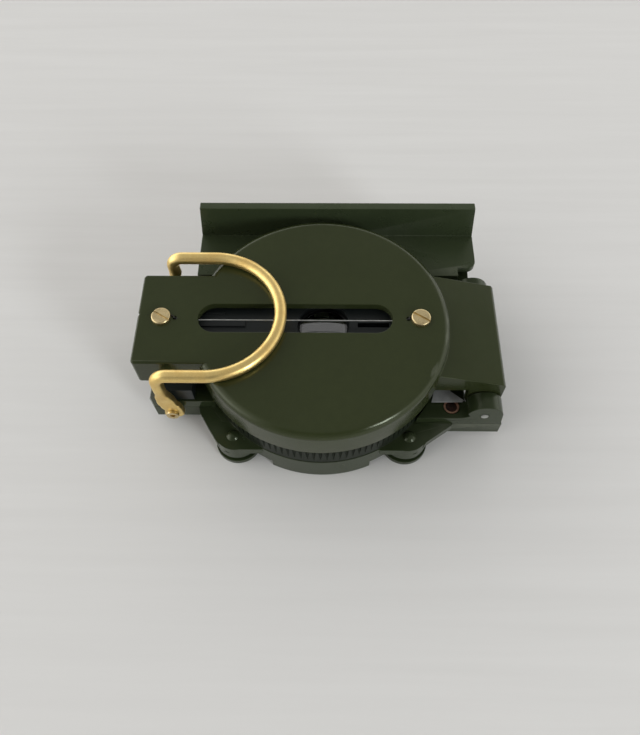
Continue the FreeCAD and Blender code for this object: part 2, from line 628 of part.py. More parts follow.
def map_ruler():
    flange = plan(flange_outline(), RULER_FLANGE_BOTTOM, RULER_FLANGE_TOP)
    face = [(RULER_LEFT, RULER_FLANGE_BOTTOM), (RULER_RIGHT, RULER_FLANGE_BOTTOM),
            (RULER_RIGHT, RULER_FLANGE_TOP), (RULER_RIGHT - RULER_DRAFT, RULER_TOP),
            (RULER_LEFT + RULER_DRAFT, RULER_TOP), (RULER_LEFT, RULER_FLANGE_TOP)]
    upright = profile(face, RULER_IN, RULER_OUT)
    arms = []
    for low, high in ((RULER_LEFT, RULER_LEFT + 2.3), (27.7, 30.2)):
        arms.append(block((low, RULER_PIN_Y - RULER_ARM_R, RULER_PIN_Z),
                          (high, RULER_PIN_Y + RULER_ARM_R, RULER_FLANGE_TOP)))
        arms.append(cyl(RULER_ARM_R, high - low, (low, RULER_PIN_Y, RULER_PIN_Z), X))
    ruler = fuse([flange, upright] + arms)
    bezel_relief = cyl(BEZEL_R + 1.5, 20, (0, 0, 0))
    pins = cyl(0.82, 80, (-40, RULER_PIN_Y, RULER_PIN_Z), X)
    return cut(ruler, [bezel_relief, arch_relief(), pins])


def arch_relief():
    """Room for the round body when the ruler lies flat on the map."""
    clear = BODY_R + 0.5
    half, steps = 13.5, 16
    points = []
    for i in range(steps + 1):
        x = -half + 2 * half * i / steps
        flat_y = math.sqrt(clear * clear - x * x)
        points.append((x, RULER_PIN_Z + flat_y - RULER_PIN_Y))
    points += [(half, 8), (-half, 8)]
    return profile(points, 15, 35)


def ruler_pins():
    left = cyl(0.78, 4.4, (-27.9, RULER_PIN_Y, RULER_PIN_Z), X)
    right = cyl(0.78, 5.1, (27.9, RULER_PIN_Y, RULER_PIN_Z), X)
    return Part.makeCompound([left, right])


NODES = [base_case, bottom_plate, plate_screws, upper_frame, block_rivet, click_spring, click_spring_rivet,
         capsule_bowl, capsule_seal, capsule_glass, capsule_clamp_ring, index_mark, pivot_seat, pivot_needle,
         jewel_cup, card_hub, card_magnet, compass_card, north_arrow,
         bezel_ring, bezel_snap_ring, bezel_glass, bezel_glass_ring, bezel_line,
         lid_shell, sight_wire, wire_screws, wire_nuts, lid_dots, lid_hinge_pin,
         lens_bracket, lens, lens_ring, bracket_pin, thumb_loop, loop_rivets, map_ruler, ruler_pins]

for make in NODES:
    shape = make()
    solids = len(shape.Solids)
    print(f"{make.__name__:20s} solids {solids} valid {shape.isValid()} volume {shape.Volume:.1f}")
    shape.exportStep(f"parts/{make.__name__}.step")
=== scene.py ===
"""Folding sighting compass on a pale table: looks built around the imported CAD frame.

Metres, in the CAD frame: origin on the card's axis at the underside, +X towards the cover hinge,
+Y towards the map ruler, +Z up.
"""

import json
import math

import bmesh
import bpy
from mathutils import Matrix, Vector


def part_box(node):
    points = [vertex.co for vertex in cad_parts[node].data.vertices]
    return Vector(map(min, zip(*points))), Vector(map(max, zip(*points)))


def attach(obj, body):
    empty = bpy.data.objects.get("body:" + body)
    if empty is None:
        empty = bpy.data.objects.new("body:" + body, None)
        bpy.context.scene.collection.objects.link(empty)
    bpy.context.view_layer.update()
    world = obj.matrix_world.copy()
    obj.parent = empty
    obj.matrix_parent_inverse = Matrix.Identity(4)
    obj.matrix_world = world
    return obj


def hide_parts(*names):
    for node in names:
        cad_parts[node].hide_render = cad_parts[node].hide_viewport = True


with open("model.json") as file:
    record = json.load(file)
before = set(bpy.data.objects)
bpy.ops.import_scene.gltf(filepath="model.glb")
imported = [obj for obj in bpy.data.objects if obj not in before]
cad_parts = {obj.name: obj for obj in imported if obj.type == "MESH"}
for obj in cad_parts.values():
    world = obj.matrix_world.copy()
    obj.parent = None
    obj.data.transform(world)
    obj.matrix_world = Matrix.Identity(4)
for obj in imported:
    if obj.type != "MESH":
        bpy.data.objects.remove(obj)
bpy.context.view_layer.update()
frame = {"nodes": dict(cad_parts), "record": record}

MM = 0.001
NODES = frame["nodes"]


# --- Camera ---
CAMERA_AT = Vector((1.71, -75.66, 135.76)) * MM
CAMERA_PITCH = math.radians(60.59)
CAMERA_YAW = math.radians(-1.66)
CAMERA_ROLL = math.radians(-1.08)
CAMERA_LENS = 33.27


def make_camera():
    forward = Vector((math.sin(CAMERA_YAW) * math.cos(CAMERA_PITCH),
                      math.cos(CAMERA_YAW) * math.cos(CAMERA_PITCH), -math.sin(CAMERA_PITCH)))
    level = Vector((math.cos(CAMERA_YAW), -math.sin(CAMERA_YAW), 0))
    upward = level.cross(forward)
    right = math.cos(CAMERA_ROLL) * level + math.sin(CAMERA_ROLL) * upward
    up = math.cos(CAMERA_ROLL) * upward - math.sin(CAMERA_ROLL) * level
    data = bpy.data.cameras.new("camera")
    data.lens = CAMERA_LENS
    data.sensor_width = 36
    data.clip_start = 0.005
    data.clip_end = 20
    camera = bpy.data.objects.new("camera", data)
    bpy.context.scene.collection.objects.link(camera)
    turn = Matrix((right, up, -forward)).transposed().to_4x4()
    camera.matrix_world = Matrix.Translation(CAMERA_AT) @ turn
    bpy.context.scene.camera = camera


# --- Node helpers ---
class Tree:
    """A new material with short calls for its nodes."""

    def __init__(self, name):
        self.material = bpy.data.materials.new(name)
        self.material.use_nodes = True
        self.nodes = self.material.node_tree.nodes
        self.links = self.material.node_tree.links
        self.shader = self.nodes["Principled BSDF"]
        self.place = self.add("ShaderNodeTexCoord").outputs["Object"]

    def add(self, kind, **values):
        node = self.nodes.new(kind)
        for key, value in values.items():
            setattr(node, key, value)
        return node

    def put(self, socket, value):
        if isinstance(value, bpy.types.NodeSocket):
            self.links.new(value, socket)
        else:
            socket.default_value = value

    def set(self, **values):
        """Sets or links the shader's sockets: base_color is Base Color, and so on."""
        for key, value in values.items():
            name = key.replace("_", " ").title().replace("Ior", "IOR")
            if isinstance(value, tuple) and len(value) == 3:
                value = (*value, 1)
            self.put(self.shader.inputs[name], value)

    def stretched(self, scale, turn=(0, 0, 0)):
        """The object's own coordinates, stretched and turned."""
        node = self.add("ShaderNodeMapping")
        self.put(node.inputs["Vector"], self.place)
        node.inputs["Scale"].default_value = scale
        node.inputs["Rotation"].default_value = turn
        return node.outputs["Vector"]

    def noise(self, size, detail=3.0, roughness=0.5, where=None, seed=0.0):
        """Noise with features about size metres across, 0 to 1."""
        node = self.add("ShaderNodeTexNoise", noise_dimensions="4D")
        self.put(node.inputs["Vector"], where or self.place)
        node.inputs["W"].default_value = seed
        node.inputs["Scale"].default_value = 1 / size
        node.inputs["Detail"].default_value = detail
        node.inputs["Roughness"].default_value = roughness
        return node.outputs["Fac"]

    def specks(self, size, radius, seed=0.0):
        """Scattered dots: 1 inside a dot, 0 outside."""
        node = self.add("ShaderNodeTexVoronoi", voronoi_dimensions="4D", feature="F1")
        self.put(node.inputs["Vector"], self.place)
        node.inputs["W"].default_value = seed
        node.inputs["Scale"].default_value = 1 / size
        return self.fit(node.outputs["Distance"], radius, radius * 0.6, 0, 1)

    def fit(self, value, low, high, out_low, out_high):
        """Maps low to high onto out_low to out_high, clamped."""
        node = self.add("ShaderNodeMapRange", clamp=True)
        self.put(node.inputs["Value"], value)
        for key, number in (("From Min", low), ("From Max", high), ("To Min", out_low), ("To Max", out_high)):
            node.inputs[key].default_value = number
        return node.outputs["Result"]

    def math(self, operation, a, b):
        node = self.add("ShaderNodeMath", operation=operation)
        self.put(node.inputs[0], a)
        self.put(node.inputs[1], b)
        return node.outputs[0]

    def mix(self, share, a, b):
        node = self.add("ShaderNodeMix", data_type="RGBA")
        self.put(node.inputs["Factor"], share)
        for socket, value in ((node.inputs[6], a), (node.inputs[7], b)):
            self.put(socket, (*value, 1) if isinstance(value, tuple) else value)
        return node.outputs[2]

    def bump(self, height, distance, strength=1.0, under=None):
        node = self.add("ShaderNodeBump")
        self.put(node.inputs["Height"], height)
        node.inputs["Distance"].default_value = distance
        node.inputs["Strength"].default_value = strength
        if under is not None:
            self.put(node.inputs["Normal"], under)
        return node.outputs["Normal"]

    def edges(self, low, high):
        """1 on raised edges, 0 on flats."""
        pointed = self.add("ShaderNodeNewGeometry").outputs["Pointiness"]
        return self.fit(pointed, low, high, 0, 1)


def shade(colour, factor):
    """The colour made darker or lighter."""
    return tuple(channel * factor for channel in colour)


# --- Materials ---
# Noise sizes, bump heights and the rivet's sizes are in metres.
COVER_OLIVE = (0.0268, 0.0342, 0.0118)
BODY_OLIVE = (0.0235, 0.0332, 0.0139)
RULER_OLIVE = (0.0370, 0.0500, 0.0240)
# darker than the body's olive: painted shade under the cover's skirt
SHADED_BEZEL_OLIVE = (0.013, 0.017, 0.011)
# lighter colour on sharp edges: partly thin paint, partly a painted highlight along the bevels
WORN_AND_LIT_EDGE = (0.24, 0.25, 0.20)
EDGE_WEAR_AND_HIGHLIGHT = 0.35         # share of the edge colour on the sharpest edges: thin paint, and a painted highlight along the bevels
DUST = (0.22, 0.23, 0.19)
PAINT_SHEEN = (0.94, 1.0, 0.78)
LOOP_BRASS = (0.90, 0.68, 0.27)
LOOP_TARNISH = (0.70, 0.47, 0.16)
SCREW_BRASS = (0.74, 0.60, 0.33)
SCREW_TARNISH = (0.24, 0.17, 0.08)
RIVET_DISH = 0.00125     # radius of the copper rivet's dish
RIVET_RIM_BLEND = 0.0001


def olive_paint(name, colour, roughness, seed, grain=0.00035, gloss=0.36):
    """Sprayed olive paint: tint drift, fine mottle, orange peel, a little dust, and edges lightened partly as
    thin paint and partly as a painted highlight.
    """
    t = Tree(name)
    drift = t.noise(0.022, 2, 0.5, seed=seed)
    mottle = t.noise(0.0016, 4, 0.6, seed=seed + 3)
    tone = t.mix(t.fit(drift, 0.35, 0.65, 0, 1), shade(colour, 0.93), shade(colour, 1.07))
    tone = t.mix(t.fit(mottle, 0.3, 0.7, 0, 0.30), tone, shade(colour, 0.72))
    # sharp edges lightened: partly thin paint, partly a painted highlight along the bevels
    thin = t.math("MULTIPLY", t.edges(0.56, 0.64), t.noise(0.0025, 3, 0.6, seed=seed + 7))
    tone = t.mix(t.math("MULTIPLY", thin, EDGE_WEAR_AND_HIGHLIGHT), tone, WORN_AND_LIT_EDGE)
    dust = t.specks(0.0021, 0.05, seed + 1)
    tone = t.mix(t.math("MULTIPLY", dust, 0.25), tone, DUST)
    rubbed = t.noise(0.006, 5, 0.65, seed=seed + 5)
    peel = t.noise(grain, 2, 0.4, seed=seed + 9)
    normal = t.bump(peel, 0.00002, 0.55)
    normal = t.bump(t.noise(0.004, 2, 0.5, seed=seed + 11), 0.00005, 0.35, normal)
    t.set(base_color=tone, roughness=t.fit(rubbed, 0.3, 0.7, roughness - 0.06, roughness + 0.07),
          normal=normal, specular_ior_level=gloss, specular_tint=PAINT_SHEEN)
    return t.material


def drawn_brass(name, colour, dark, roughness, seed):
    """Brass with tarnish patches and fine scratches."""
    t = Tree(name)
    tarnish = t.noise(0.0035, 5, 0.65, seed=seed)
    fine = t.noise(0.00025, 3, 0.6, seed=seed + 2)
    tone = t.mix(t.fit(tarnish, 0.42, 0.72, 0, 0.8), colour, dark)
    tone = t.mix(t.fit(fine, 0.45, 0.75, 0, 0.35), tone, shade(dark, 0.8))
    normal = t.bump(t.noise(0.0012, 3, 0.55, seed=seed + 4), 0.00006, 0.5)
    normal = t.bump(fine, 0.00001, 0.5, normal)
    t.set(base_color=tone, metallic=1.0, roughness=t.fit(tarnish, 0.35, 0.75, roughness, roughness + 0.18),
          normal=normal)
    return t.material


def plain_metal(name, colour, roughness, brush, seed, metallic=1.0):
    """Steel with a grain drawn out along the axes that brush makes small, and darker stains."""
    t = Tree(name)
    grain = t.noise(0.0002, 3, 0.6, where=t.stretched(brush), seed=seed)
    stain = t.noise(0.0018, 4, 0.6, seed=seed + 2)
    tone = t.mix(t.fit(stain, 0.4, 0.7, 0, 0.6), colour, shade(colour, 0.55))
    t.set(base_color=tone, metallic=metallic,
          roughness=t.fit(grain, 0.3, 0.7, roughness - 0.08, roughness + 0.12),
          normal=t.bump(grain, 0.00001, 0.4))
    return t.material


def dished_copper(name):
    """Copper, with a painted highlight on the rivet's rim and painted shade in its recessed dish."""
    t = Tree(name)
    low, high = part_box("block_rivet")
    offset = t.add("ShaderNodeVectorMath", operation="SUBTRACT")
    t.put(offset.inputs[0], t.place)
    offset.inputs[1].default_value = (low + high) / 2
    flat = t.add("ShaderNodeVectorMath", operation="MULTIPLY")
    t.put(flat.inputs[0], offset.outputs[0])
    flat.inputs[1].default_value = (1, 1, 0)
    radius = t.add("ShaderNodeVectorMath", operation="LENGTH")
    t.put(radius.inputs[0], flat.outputs[0])
    # 1 on the rim, 0 in the dish: the rim's light copper is a painted highlight
    painted_rim_highlight = t.fit(radius.outputs["Value"], RIVET_DISH - RIVET_RIM_BLEND, RIVET_DISH, 0, 1)
    grime = t.noise(0.0006, 4, 0.6, seed=23)
    rim = t.mix(t.fit(grime, 0.4, 0.65, 0, 1), (0.62, 0.36, 0.24), (0.30, 0.17, 0.12))
    # dark dish colours: painted shade in the recess, mottled by the grime noise
    dish = t.mix(t.fit(grime, 0.35, 0.65, 0, 1), (0.085, 0.045, 0.034), (0.030, 0.022, 0.018))
    t.set(base_color=t.mix(painted_rim_highlight, dish, rim), metallic=0.8, roughness=t.fit(grime, 0.3, 0.7, 0.34, 0.50),
          normal=t.bump(grime, 0.00002, 0.4))
    return t.material


def moulded_plastic(name, colour, roughness, seed, gloss=0.5):
    """Moulded plastic with a faint spark-eroded grain and specks of dust."""
    t = Tree(name)
    flow = t.noise(0.009, 3, 0.5, seed=seed)
    grain = t.noise(0.00022, 3, 0.6, seed=seed + 2)
    tone = t.mix(t.fit(flow, 0.35, 0.65, 0, 1), shade(colour, 0.85), shade(colour, 1.2))
    tone = t.mix(t.math("MULTIPLY", t.specks(0.0019, 0.04, seed + 5), 0.3), tone, (0.2, 0.2, 0.2))
    t.set(base_color=tone, roughness=t.fit(flow, 0.3, 0.7, roughness - 0.05, roughness + 0.08),
          normal=t.bump(grain, 0.000012, 0.5), specular_ior_level=gloss)
    return t.material


def clear_glass(name, tint, ior, seed):
    """Clear crystal with the faintest smears."""
    t = Tree(name)
    smear = t.noise(0.006, 4, 0.6, seed=seed)
    tone = t.mix(t.fit(smear, 0.4, 0.8, 0, 1), tint, shade(tint, 0.94))
    t.set(base_color=tone, roughness=t.fit(smear, 0.45, 0.8, 0.0, 0.05), transmission_weight=1.0, ior=ior)
    return t.material


def luminous_paint(name, colour, seed):
    """Thick chalky paint."""
    t = Tree(name)
    lump = t.noise(0.0005, 3, 0.6, seed=seed)
    tone = t.mix(t.fit(lump, 0.35, 0.7, 0, 1), colour, shade(colour, 0.8))
    t.set(base_color=tone, roughness=0.6, normal=t.bump(lump, 0.00003, 0.6))
    return t.material


def make_materials():
    """One material for each slot of the record, and two more for the wire's ends and the card's scale."""
    return {
        "olive_cover": olive_paint("olive_cover", COVER_OLIVE, 0.20, 1.0),
        "olive_lower": olive_paint("olive_lower", BODY_OLIVE, 0.22, 21.0),
        "olive_upper": olive_paint("olive_upper", BODY_OLIVE, 0.22, 41.0),
        "olive_ruler": olive_paint("olive_ruler", RULER_OLIVE, 0.30, 61.0),
        "bottom_plate": olive_paint("bottom_plate", BODY_OLIVE, 0.22, 81.0),
        "bezel": olive_paint("bezel", SHADED_BEZEL_OLIVE, 0.36, 101.0, grain=0.0002, gloss=0.10),
        "black_plastic": moulded_plastic("black_plastic", (0.010, 0.013, 0.013), 0.36, 2.0, gloss=0.36),
        "card_black": moulded_plastic("card_black", (0.010, 0.010, 0.011), 0.6, 7.0),
        "capsule": moulded_plastic("capsule", (0.72, 0.73, 0.70), 0.35, 12.0),
        "seal_rubber": moulded_plastic("seal_rubber", (0.02, 0.02, 0.02), 0.7, 17.0),
        "jewel_red": moulded_plastic("jewel_red", (0.42, 0.02, 0.05), 0.12, 19.0),
        "loop_brass": drawn_brass("loop_brass", LOOP_BRASS, LOOP_TARNISH, 0.34, 3.0),
        "screw_brass": drawn_brass("screw_brass", SCREW_BRASS, SCREW_TARNISH, 0.34, 13.0),
        "copper": dished_copper("copper"),
        "steel": plain_metal("steel", (0.42, 0.43, 0.42), 0.5, (0.15, 1, 1), 3.0, metallic=0.4),
        "steel_pin": plain_metal("steel_pin", (0.55, 0.56, 0.54), 0.32, (1, 0.2, 1), 9.0),
        "magnet_steel": plain_metal("magnet_steel", (0.22, 0.22, 0.24), 0.45, (1, 0.15, 1), 15.0),
        "clear_glass": clear_glass("clear_glass", (0.97, 0.99, 0.98), 1.5, 1.0),
        "lens_glass": clear_glass("lens_glass", (0.93, 0.95, 0.96), 2.2, 5.0),
        "wire_black": plain_metal("wire_black", (0.05, 0.05, 0.05), 0.4, (1, 1, 1), 31.0),
        "print_white": luminous_paint("print_white", (0.75, 0.75, 0.72), 8.0),
        "luminous": luminous_paint("luminous", (0.62, 0.74, 0.44), 4.0),
    }


# --- Edge softening on CAD nodes ---
SMOOTH_ANGLE = math.radians(32)
# Bevel widths in millimetres
SOFT_EDGES = {"lid_shell": 0.20, "upper_frame": 0.12, "base_case": 0.07, "bottom_plate": 0.15,
              "map_ruler": 0.16, "lens_bracket": 0.07}


def soften_group():
    """Geometry nodes that drop the imported normals and shade smooth up to SMOOTH_ANGLE."""
    group = bpy.data.node_groups.new("shade_by_angle", "GeometryNodeTree")
    group.interface.new_socket("Geometry", in_out="INPUT", socket_type="NodeSocketGeometry")
    group.interface.new_socket("Geometry", in_out="OUTPUT", socket_type="NodeSocketGeometry")
    start = group.nodes.new("NodeGroupInput")
    end = group.nodes.new("NodeGroupOutput")
    drop = group.nodes.new("GeometryNodeRemoveAttribute")
    drop.inputs["Name"].default_value = "custom_normal"
    faces = group.nodes.new("GeometryNodeSetShadeSmooth")
    faces.domain = "FACE"
    edges = group.nodes.new("GeometryNodeSetShadeSmooth")
    edges.domain = "EDGE"
    edge_angle = group.nodes.new("GeometryNodeInputMeshEdgeAngle")
    compare = group.nodes.new("FunctionNodeCompare")
    compare.data_type = "FLOAT"
    compare.operation = "LESS_THAN"
    compare.inputs[1].default_value = SMOOTH_ANGLE
    link = group.links.new
    link(start.outputs[0], drop.inputs["Geometry"])
    link(drop.outputs["Geometry"], faces.inputs["Geometry"])
    link(faces.outputs["Geometry"], edges.inputs["Geometry"])
    link(edge_angle.outputs["Unsigned Angle"], compare.inputs[0])
    link(compare.outputs["Result"], edges.inputs["Shade Smooth"])
    link(edges.outputs["Geometry"], end.inputs[0])
    return group


def soften(node, width, smooth_group):
    """Rounds a CAD node's sharp edges with modifiers; its own mesh stays as it is."""
    weld = node.modifiers.new("weld", "WELD")
    weld.merge_threshold = 2e-6
    planar = node.modifiers.new("planar", "DECIMATE")
    planar.decimate_type = "DISSOLVE"
    planar.angle_limit = math.radians(0.4)
    bevel = node.modifiers.new("bevel", "BEVEL")
    bevel.width = width
    bevel.segments = 2
    bevel.limit_method = "ANGLE"
    bevel.angle_limit = SMOOTH_ANGLE
    bevel.use_clamp_overlap = False
    shading = node.modifiers.new("shading", "NODES")
    shading.node_group = smooth_group
    weighted = node.modifiers.new("weighted", "WEIGHTED_NORMAL")
    weighted.mode = "FACE_AREA"
    weighted.weight = 60
    weighted.keep_sharp = True


def dress_nodes(materials):
    """Gives each CAD node its slot's material and rounds the edges of the large ones."""
    slots = {part["node"]: part["material_slot"] for part in frame["record"]["subparts"]}
    for name, node in NODES.items():
        node.material_slots[0].material = materials[slots[name]]
    smooth_group = soften_group()
    for name, width in SOFT_EDGES.items():
        soften(NODES[name], width * MM, smooth_group)


# --- Mesh builders ---
def mesh_piece(name, points, faces, material, body, smooth=True):
    """A new piece from millimetre points, riding on a body."""
    mesh = bpy.data.meshes.new(name)
    mesh.from_pydata([Vector(p) * MM for p in points], [], faces)
    mesh.validate()
    for face in mesh.polygons:
        face.use_smooth = smooth
    piece = bpy.data.objects.new(name, mesh)
    bpy.context.scene.collection.objects.link(piece)
    mesh.materials.append(material)
    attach(piece, body)
    return piece


def loft(rings):
    """Points and faces of a closed skin over rings with the same number of points."""
    count = len(rings[0])
    points = [p for ring in rings for p in ring]
    faces = [tuple(reversed(range(count)))]
    for i in range(len(rings) - 1):
        for j in range(count):
            k = (j + 1) % count
            faces.append((i * count + j, i * count + k, (i + 1) * count + k, (i + 1) * count + j))
    faces.append(tuple(range((len(rings) - 1) * count, len(rings) * count)))
    return points, faces


def between(stations, at):
    """Smooth value at a position from (position, value) stations in rising order."""
    if at <= stations[0][0]:
        return stations[0][1]
    for (x0, y0), (x1, y1) in zip(stations, stations[1:]):
        if at <= x1:
            t = (at - x0) / (x1 - x0)
            return y0 + (y1 - y0) * t * t * (3 - 2 * t)
    return stations[-1][1]


# --- Thumb loop (millimetres) ---
LEG_X = -31.8            # centre of the round wire where it stands up
LOOP_Y = 14.25
WIRE_R = 1.25
LOOP_Z = 23.0            # centre of the wire where it lies over the cover
BEND_R = 2.4
BOW_X = -22.4            # centre of the half circle
FOOT_Z = 6.0             # lower end of the legs
ROUND_Z = 18.6           # the flattened length ends here
FAR_SHIFT = 0.25         # the far leg stands this much nearer the axis than the near one
END_SOFT = 0.25
RING_POINTS = 28
LEG_STEPS = 44
BEND_STEPS = 10
STRAIGHT_STEPS = 6
BOW_STEPS = 48

# Stations (height, value) up the near leg: its two outlines, half thickness, middle and squareness
FLAT_LEFT = [(FOOT_Z, -32.4), (6.6, -32.85), (8.45, -32.6), (9.85, -33.15), (11.65, -33.55),
             (14.05, -33.4), (16.1, -32.95), (ROUND_Z, LEG_X - WIRE_R)]
FLAT_RIGHT = [(FOOT_Z, -29.2), (6.6, -28.75), (8.85, -28.85), (10.0, -29.15), (10.5, -29.6),
              (12.4, -29.8), (14.05, -30.25), (15.6, -30.75), (ROUND_Z, LEG_X + WIRE_R)]
FLAT_HALF_Y = [(FOOT_Z, 0.8), (11.0, 0.82), (14.5, 0.95), (ROUND_Z, WIRE_R)]
FLAT_MID_Y = [(FOOT_Z, 13.8), (12.0, 13.8), (ROUND_Z, LOOP_Y)]
FLAT_POWER = [(FOOT_Z, 0.32), (14.0, 0.45), (ROUND_Z, 1.0)]


def leg_ring(z, side):
    """Section of one leg at height z: round wire above, an uneven flat below."""
    left, right = between(FLAT_LEFT, z), between(FLAT_RIGHT, z)
    if side > 0:     # the far leg was flattened a little differently
        left += 0.12 * math.sin(z * 1.7)
        right += 0.14 * math.sin(z * 2.1 + 1)
    half_y, mid_y, power = between(FLAT_HALF_Y, z), between(FLAT_MID_Y, z), between(FLAT_POWER, z)
    ring = []
    for i in range(RING_POINTS):
        a = 2 * math.pi * i / RING_POINTS
        c, n = math.cos(a), math.sin(a)
        x = (left + right) / 2 + (right - left) / 2 * math.copysign(abs(c) ** power, c)
        y = mid_y + half_y * math.copysign(abs(n) ** power, n)
        ring.append((x, side * y - (FAR_SHIFT if side > 0 else 0), z))
    return ring if side > 0 else ring[::-1]


def wire_ring(centre, along):
    """Round section of the wire, square to its direction."""
    along = Vector(along).normalized()
    up = Vector((0, 0, 1)) if abs(along.z) < 0.99 else Vector((-1, 0, 0))
    side = along.cross(up).normalized()
    up = side.cross(along)
    return [tuple(Vector(centre) + WIRE_R * (math.cos(a) * side + math.sin(a) * up))
            for a in (2 * math.pi * i / RING_POINTS for i in range(RING_POINTS))]


def loop_path():
    """Centre points and directions of the wire, up the near leg's bend and along to the bow's far end."""
    path = []
    for i in range(BEND_STEPS + 1):
        a = math.pi / 2 * i / BEND_STEPS
        path.append(((LEG_X + BEND_R * (1 - math.cos(a)), -LOOP_Y, LOOP_Z - BEND_R * (1 - math.sin(a))),
                     (math.sin(a), 0, math.cos(a))))
    straight = BOW_X - LEG_X - BEND_R
    for i in range(1, STRAIGHT_STEPS):
        path.append(((LEG_X + BEND_R + straight * i / STRAIGHT_STEPS, -LOOP_Y, LOOP_Z), (1, 0, 0)))
    for i in range(BOW_STEPS + 1):
        a = -math.pi / 2 + math.pi * i / BOW_STEPS
        y = LOOP_Y * math.sin(a) - FAR_SHIFT * (1 + math.sin(a)) / 2
        path.append(((BOW_X + LOOP_Y * math.cos(a), y, LOOP_Z), (-math.sin(a), math.cos(a), 0)))
    return path


def skin(rings):
    """Joins rings whose starting points and directions may differ, each turned to sit best on the last."""
    aligned = [rings[0]]
    for ring in rings[1:]:
        last = aligned[-1]
        options = []
        for candidate in (ring, ring[::-1]):
            for shift in range(RING_POINTS):
                turned = candidate[shift:] + candidate[:shift]
                pairs = list(zip(turned, last))[::RING_POINTS // 4]
                cost = sum((Vector(point) - Vector(match)).length_squared for point, match in pairs)
                options.append((cost, turned))
        aligned.append(min(options, key=lambda option: option[0])[1])
    return loft(aligned)


def fix_normals(piece):
    """Turns every face outwards."""
    shape = bmesh.new()
    shape.from_mesh(piece.data)
    bmesh.ops.recalc_face_normals(shape, faces=shape.faces)
    shape.to_mesh(piece.data)
    shape.free()


def make_loop():
    """The whole thumb loop as one skin: near leg, bend, bow, bend and far leg."""
    heights = [FOOT_Z + (ROUND_Z - FOOT_Z) * i / LEG_STEPS for i in range(LEG_STEPS + 1)]
    near = [leg_ring(z, -1) for z in heights]
    far = [leg_ring(z, 1) for z in heights[::-1]]
    path = loop_path()
    bow = [wire_ring(centre, along) for centre, along in path]
    near_side = path[:BEND_STEPS + STRAIGHT_STEPS]
    mirrored = [((x, -y - FAR_SHIFT, z), (dx, -dy, dz)) for (x, y, z), (dx, dy, dz) in near_side]
    bow += [wire_ring(centre, along) for centre, along in mirrored[::-1]]
    points, faces = skin(near + bow + far)
    loop = mesh_piece("thumb_loop_wire", points, faces, MATERIALS["loop_brass"], "thumb_loop")
    fix_normals(loop)
    round_ends = loop.modifiers.new("ends", "BEVEL")
    round_ends.width = END_SOFT * MM
    round_ends.segments = 2
    round_ends.limit_method = "ANGLE"
    round_ends.angle_limit = math.radians(60)
    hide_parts("thumb_loop")


# --- Sighting wire's twisted ends (millimetres) ---
SCREW_R = 1.95
HOLE_GAPS = (2.75, 2.46)       # from each screw's middle to the wire's hole beside it
STRAND_BENDS = (0.55, -0.35)   # how far the long strand and the short one bend sideways
STRAND_R = 0.11


def wire_tail(name, points):
    """One cut strand of the wire along millimetre points."""
    curve = bpy.data.curves.new(name, "CURVE")
    curve.dimensions = "3D"
    curve.bevel_depth = STRAND_R * MM
    curve.bevel_resolution = 2
    spline = curve.splines.new("NURBS")
    spline.points.add(len(points) - 1)
    for point, at in zip(spline.points, points):
        point.co = (*(Vector(at) * MM), 1)
    spline.order_u = 3
    spline.use_endpoint_u = True
    tail = bpy.data.objects.new(name, curve)
    bpy.context.scene.collection.objects.link(tail)
    curve.materials.append(MATERIALS["wire_black"])
    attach(tail, "cover")


def make_wire_tails():
    """The wire's cut ends, which come up through small holes and hook round the screws."""
    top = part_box("lid_shell")[1].z / MM
    low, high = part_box("wire_screws")
    screws = (low.x / MM + SCREW_R, high.x / MM - SCREW_R)
    for index, (screw, gap, out) in enumerate(zip(screws, HOLE_GAPS, (1, -1))):
        hole = screw + out * gap
        screw_edge = (screw + out * (SCREW_R - 0.15), STRAND_BENDS[0], top + 0.12)
        loose_end = (hole + out * 0.45, -0.30, top + 0.16)
        for strand, (bend, end) in enumerate(zip(STRAND_BENDS, (screw_edge, loose_end))):
            wire_tail(f"wire_tail_{index}_{strand}",
                      [(hole, 0, top - 0.6), (hole, 0.02, top + 0.12),
                       (hole - out * 0.35, bend * 0.5, top + 0.22), end])


# --- Card print (millimetres) ---
SCALE_R = 18.9           # outer ends of the degree marks
MARK_HALF = 0.09
MARKS = 120
NUMBER_R, NUMBER_SIZE = 15.3, 2.1
LETTER_R, LETTER_SIZE = 10.2, 4.0
PRINT_LIFT = 0.03
INK_THICK = 0.02


def flat_mark(x0, x1, y0, y1, z, turn, points, faces):
    """Adds one thin rectangular mark, turned about the card's axis."""
    start = len(points)
    for x, y in ((x0, y0), (x1, y0), (x1, y1), (x0, y1)):
        points.append((x * math.cos(turn) - y * math.sin(turn), x * math.sin(turn) + y * math.cos(turn), z))
    faces.append((start, start + 1, start + 2, start + 3))


def text_mesh(words, size, z, radius, turn):
    """Flat generic lettering standing on a circle, as (points, faces)."""
    curve = bpy.data.curves.new("words", "FONT")
    curve.body = words
    curve.size = size
    curve.align_x = "CENTER"
    curve.align_y = "CENTER"
    holder = bpy.data.objects.new("words", curve)
    bpy.context.scene.collection.objects.link(holder)
    bpy.context.view_layer.update()
    mesh = bpy.data.meshes.new_from_object(holder)
    cosine, sine = math.cos(turn), math.sin(turn)
    points = [(v.co.x * cosine - (v.co.y + radius) * sine, v.co.x * sine + (v.co.y + radius) * cosine, z)
              for v in mesh.vertices]
    faces = [tuple(face.vertices) for face in mesh.polygons]
    bpy.data.objects.remove(holder)
    bpy.data.meshes.remove(mesh)
    return points, faces


def add_text(words, size, z, radius, degrees, points, faces):
    """Adds one word of lettering to a print, turned clockwise by degrees."""
    new_points, new_faces = text_mesh(words, size, z, radius, math.radians(-degrees))
    faces.extend(tuple(v + len(points) for v in face) for face in new_faces)
    points.extend(new_points)


def print_piece(points, faces, name, material):
    """Makes flat marks into one thin piece on the card."""
    piece = mesh_piece(name, points, faces, material, "card", smooth=False)
    thick = piece.modifiers.new("ink", "SOLIDIFY")
    thick.thickness = INK_THICK * MM


